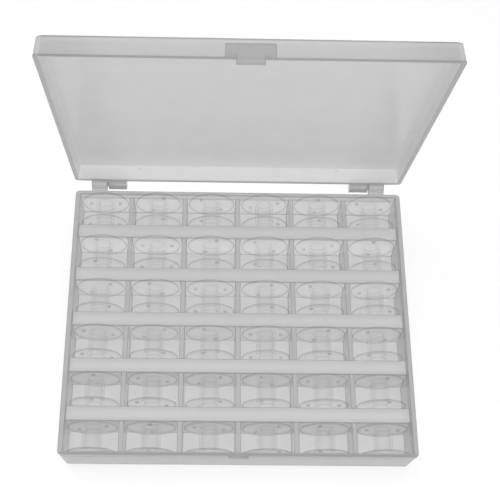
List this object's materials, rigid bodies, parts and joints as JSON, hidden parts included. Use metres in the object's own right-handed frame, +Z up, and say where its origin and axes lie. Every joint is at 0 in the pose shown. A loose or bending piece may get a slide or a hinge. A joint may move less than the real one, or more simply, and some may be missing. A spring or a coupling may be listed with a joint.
{
  "type": "bobbin storage box",
  "caption": "Hinged clear plastic box with snap latch and moulded cells that hold sewing bobbins upright on their rims, each bobbin loose in its own cell.",
  "frame": {"origin": "centre of the tray's flat underside", "axes": "+X to the right along the hinge, +Y to the back where the hinge is, +Z up"},
  "size_m": [0.1434, 0.1289, 0.142],
  "materials": {
    "clear_tray": "clear moulded polystyrene, glossy, with a faint grey haze",
    "clear_lid": "clear moulded polystyrene, glossy, with a faint grey haze",
    "clear_latch": "clear moulded plastic, thick enough to look grey",
    "clear_bobbin": "clear moulded plastic, glossy"
  },
  "bodies": {
    "tray": {"tray_floor": "clear_tray", "tray_left": "clear_tray", "tray_right": "clear_tray", "tray_front": "clear_tray", "tray_back": "clear_tray", "tray_ear_left": "clear_tray", "tray_ear_right": "clear_tray", "tray_catch": "clear_tray", "tray_band_1": "clear_tray", "tray_band_2": "clear_tray", "tray_band_3": "clear_tray", "tray_band_4": "clear_tray", "tray_band_5": "clear_tray", "tray_divider_1": "clear_tray", "tray_divider_2": "clear_tray", "tray_divider_3": "clear_tray", "tray_divider_4": "clear_tray", "tray_divider_5": "clear_tray"},
    "lid": {"lid": "clear_lid"},
    "latch": {"latch": "clear_latch"},
    "bobbin_r1_c1": {"bobbin_r1_c1": "clear_bobbin"},
    "bobbin_r1_c2": {"bobbin_r1_c2": "clear_bobbin"},
    "bobbin_r1_c3": {"bobbin_r1_c3": "clear_bobbin"},
    "bobbin_r1_c4": {"bobbin_r1_c4": "clear_bobbin"},
    "bobbin_r1_c5": {"bobbin_r1_c5": "clear_bobbin"},
    "bobbin_r1_c6": {"bobbin_r1_c6": "clear_bobbin"},
    "bobbin_r2_c1": {"bobbin_r2_c1": "clear_bobbin"},
    "bobbin_r2_c2": {"bobbin_r2_c2": "clear_bobbin"},
    "bobbin_r2_c3": {"bobbin_r2_c3": "clear_bobbin"},
    "bobbin_r2_c4": {"bobbin_r2_c4": "clear_bobbin"},
    "bobbin_r2_c5": {"bobbin_r2_c5": "clear_bobbin"},
    "bobbin_r2_c6": {"bobbin_r2_c6": "clear_bobbin"},
    "bobbin_r3_c1": {"bobbin_r3_c1": "clear_bobbin"},
    "bobbin_r3_c2": {"bobbin_r3_c2": "clear_bobbin"},
    "bobbin_r3_c3": {"bobbin_r3_c3": "clear_bobbin"},
    "bobbin_r3_c4": {"bobbin_r3_c4": "clear_bobbin"},
    "bobbin_r3_c5": {"bobbin_r3_c5": "clear_bobbin"},
    "bobbin_r3_c6": {"bobbin_r3_c6": "clear_bobbin"},
    "bobbin_r4_c1": {"bobbin_r4_c1": "clear_bobbin"},
    "bobbin_r4_c2": {"bobbin_r4_c2": "clear_bobbin"},
    "bobbin_r4_c3": {"bobbin_r4_c3": "clear_bobbin"},
    "bobbin_r4_c4": {"bobbin_r4_c4": "clear_bobbin"},
    "bobbin_r4_c5": {"bobbin_r4_c5": "clear_bobbin"},
    "bobbin_r4_c6": {"bobbin_r4_c6": "clear_bobbin"},
    "bobbin_r5_c1": {"bobbin_r5_c1": "clear_bobbin"},
    "bobbin_r5_c2": {"bobbin_r5_c2": "clear_bobbin"},
    "bobbin_r5_c3": {"bobbin_r5_c3": "clear_bobbin"},
    "bobbin_r5_c4": {"bobbin_r5_c4": "clear_bobbin"},
    "bobbin_r5_c5": {"bobbin_r5_c5": "clear_bobbin"},
    "bobbin_r5_c6": {"bobbin_r5_c6": "clear_bobbin"},
    "bobbin_r6_c1": {"bobbin_r6_c1": "clear_bobbin"},
    "bobbin_r6_c2": {"bobbin_r6_c2": "clear_bobbin"},
    "bobbin_r6_c3": {"bobbin_r6_c3": "clear_bobbin"},
    "bobbin_r6_c4": {"bobbin_r6_c4": "clear_bobbin"},
    "bobbin_r6_c5": {"bobbin_r6_c5": "clear_bobbin"},
    "bobbin_r6_c6": {"bobbin_r6_c6": "clear_bobbin"}
  },
  "joints": [
    {"name": "lid_hinge", "type": "hinge", "parent": "tray", "child": "lid", "pos_m": [0, 0.06223, 0.0195], "axis": [-1, 0, 0], "range_deg": [-82, 98]},
    {"name": "latch_flex", "type": "hinge", "parent": "lid", "child": "latch", "pos_m": [0, 0.05008, 0.13967], "axis": [-1, 0, 0], "range_deg": [0, 12], "stiffness_Nm_per_rad": 0.02},
    {"name": "bobbin_r1_c1_lift", "type": "slide", "parent": "tray", "child": "bobbin_r1_c1", "axis": [0, 0, 1], "range_m": [0, 0.024]},
    {"name": "bobbin_r1_c2_lift", "type": "slide", "parent": "tray", "child": "bobbin_r1_c2", "axis": [0, 0, 1], "range_m": [0, 0.024]},
    {"name": "bobbin_r1_c3_lift", "type": "slide", "parent": "tray", "child": "bobbin_r1_c3", "axis": [0, 0, 1], "range_m": [0, 0.024]},
    {"name": "bobbin_r1_c4_lift", "type": "slide", "parent": "tray", "child": "bobbin_r1_c4", "axis": [0, 0, 1], "range_m": [0, 0.024]},
    {"name": "bobbin_r1_c5_lift", "type": "slide", "parent": "tray", "child": "bobbin_r1_c5", "axis": [0, 0, 1], "range_m": [0, 0.024]},
    {"name": "bobbin_r1_c6_lift", "type": "slide", "parent": "tray", "child": "bobbin_r1_c6", "axis": [0, 0, 1], "range_m": [0, 0.024]},
    {"name": "bobbin_r2_c1_lift", "type": "slide", "parent": "tray", "child": "bobbin_r2_c1", "axis": [0, 0, 1], "range_m": [0, 0.024]},
    {"name": "bobbin_r2_c2_lift", "type": "slide", "parent": "tray", "child": "bobbin_r2_c2", "axis": [0, 0, 1], "range_m": [0, 0.024]},
    {"name": "bobbin_r2_c3_lift", "type": "slide", "parent": "tray", "child": "bobbin_r2_c3", "axis": [0, 0, 1], "range_m": [0, 0.024]},
    {"name": "bobbin_r2_c4_lift", "type": "slide", "parent": "tray", "child": "bobbin_r2_c4", "axis": [0, 0, 1], "range_m": [0, 0.024]},
    {"name": "bobbin_r2_c5_lift", "type": "slide", "parent": "tray", "child": "bobbin_r2_c5", "axis": [0, 0, 1], "range_m": [0, 0.024]},
    {"name": "bobbin_r2_c6_lift", "type": "slide", "parent": "tray", "child": "bobbin_r2_c6", "axis": [0, 0, 1], "range_m": [0, 0.024]},
    {"name": "bobbin_r3_c1_lift", "type": "slide", "parent": "tray", "child": "bobbin_r3_c1", "axis": [0, 0, 1], "range_m": [0, 0.024]},
    {"name": "bobbin_r3_c2_lift", "type": "slide", "parent": "tray", "child": "bobbin_r3_c2", "axis": [0, 0, 1], "range_m": [0, 0.024]},
    {"name": "bobbin_r3_c3_lift", "type": "slide", "parent": "tray", "child": "bobbin_r3_c3", "axis": [0, 0, 1], "range_m": [0, 0.024]},
    {"name": "bobbin_r3_c4_lift", "type": "slide", "parent": "tray", "child": "bobbin_r3_c4", "axis": [0, 0, 1], "range_m": [0, 0.024]},
    {"name": "bobbin_r3_c5_lift", "type": "slide", "parent": "tray", "child": "bobbin_r3_c5", "axis": [0, 0, 1], "range_m": [0, 0.024]},
    {"name": "bobbin_r3_c6_lift", "type": "slide", "parent": "tray", "child": "bobbin_r3_c6", "axis": [0, 0, 1], "range_m": [0, 0.024]},
    {"name": "bobbin_r4_c1_lift", "type": "slide", "parent": "tray", "child": "bobbin_r4_c1", "axis": [0, 0, 1], "range_m": [0, 0.024]},
    {"name": "bobbin_r4_c2_lift", "type": "slide", "parent": "tray", "child": "bobbin_r4_c2", "axis": [0, 0, 1], "range_m": [0, 0.024]},
    {"name": "bobbin_r4_c3_lift", "type": "slide", "parent": "tray", "child": "bobbin_r4_c3", "axis": [0, 0, 1], "range_m": [0, 0.024]},
    {"name": "bobbin_r4_c4_lift", "type": "slide", "parent": "tray", "child": "bobbin_r4_c4", "axis": [0, 0, 1], "range_m": [0, 0.024]},
    {"name": "bobbin_r4_c5_lift", "type": "slide", "parent": "tray", "child": "bobbin_r4_c5", "axis": [0, 0, 1], "range_m": [0, 0.024]},
    {"name": "bobbin_r4_c6_lift", "type": "slide", "parent": "tray", "child": "bobbin_r4_c6", "axis": [0, 0, 1], "range_m": [0, 0.024]},
    {"name": "bobbin_r5_c1_lift", "type": "slide", "parent": "tray", "child": "bobbin_r5_c1", "axis": [0, 0, 1], "range_m": [0, 0.024]},
    {"name": "bobbin_r5_c2_lift", "type": "slide", "parent": "tray", "child": "bobbin_r5_c2", "axis": [0, 0, 1], "range_m": [0, 0.024]},
    {"name": "bobbin_r5_c3_lift", "type": "slide", "parent": "tray", "child": "bobbin_r5_c3", "axis": [0, 0, 1], "range_m": [0, 0.024]},
    {"name": "bobbin_r5_c4_lift", "type": "slide", "parent": "tray", "child": "bobbin_r5_c4", "axis": [0, 0, 1], "range_m": [0, 0.024]},
    {"name": "bobbin_r5_c5_lift", "type": "slide", "parent": "tray", "child": "bobbin_r5_c5", "axis": [0, 0, 1], "range_m": [0, 0.024]},
    {"name": "bobbin_r5_c6_lift", "type": "slide", "parent": "tray", "child": "bobbin_r5_c6", "axis": [0, 0, 1], "range_m": [0, 0.024]},
    {"name": "bobbin_r6_c1_lift", "type": "slide", "parent": "tray", "child": "bobbin_r6_c1", "axis": [0, 0, 1], "range_m": [0, 0.024]},
    {"name": "bobbin_r6_c2_lift", "type": "slide", "parent": "tray", "child": "bobbin_r6_c2", "axis": [0, 0, 1], "range_m": [0, 0.024]},
    {"name": "bobbin_r6_c3_lift", "type": "slide", "parent": "tray", "child": "bobbin_r6_c3", "axis": [0, 0, 1], "range_m": [0, 0.024]},
    {"name": "bobbin_r6_c4_lift", "type": "slide", "parent": "tray", "child": "bobbin_r6_c4", "axis": [0, 0, 1], "range_m": [0, 0.024]},
    {"name": "bobbin_r6_c5_lift", "type": "slide", "parent": "tray", "child": "bobbin_r6_c5", "axis": [0, 0, 1], "range_m": [0, 0.024]},
    {"name": "bobbin_r6_c6_lift", "type": "slide", "parent": "tray", "child": "bobbin_r6_c6", "axis": [0, 0, 1], "range_m": [0, 0.024]}
  ]
}
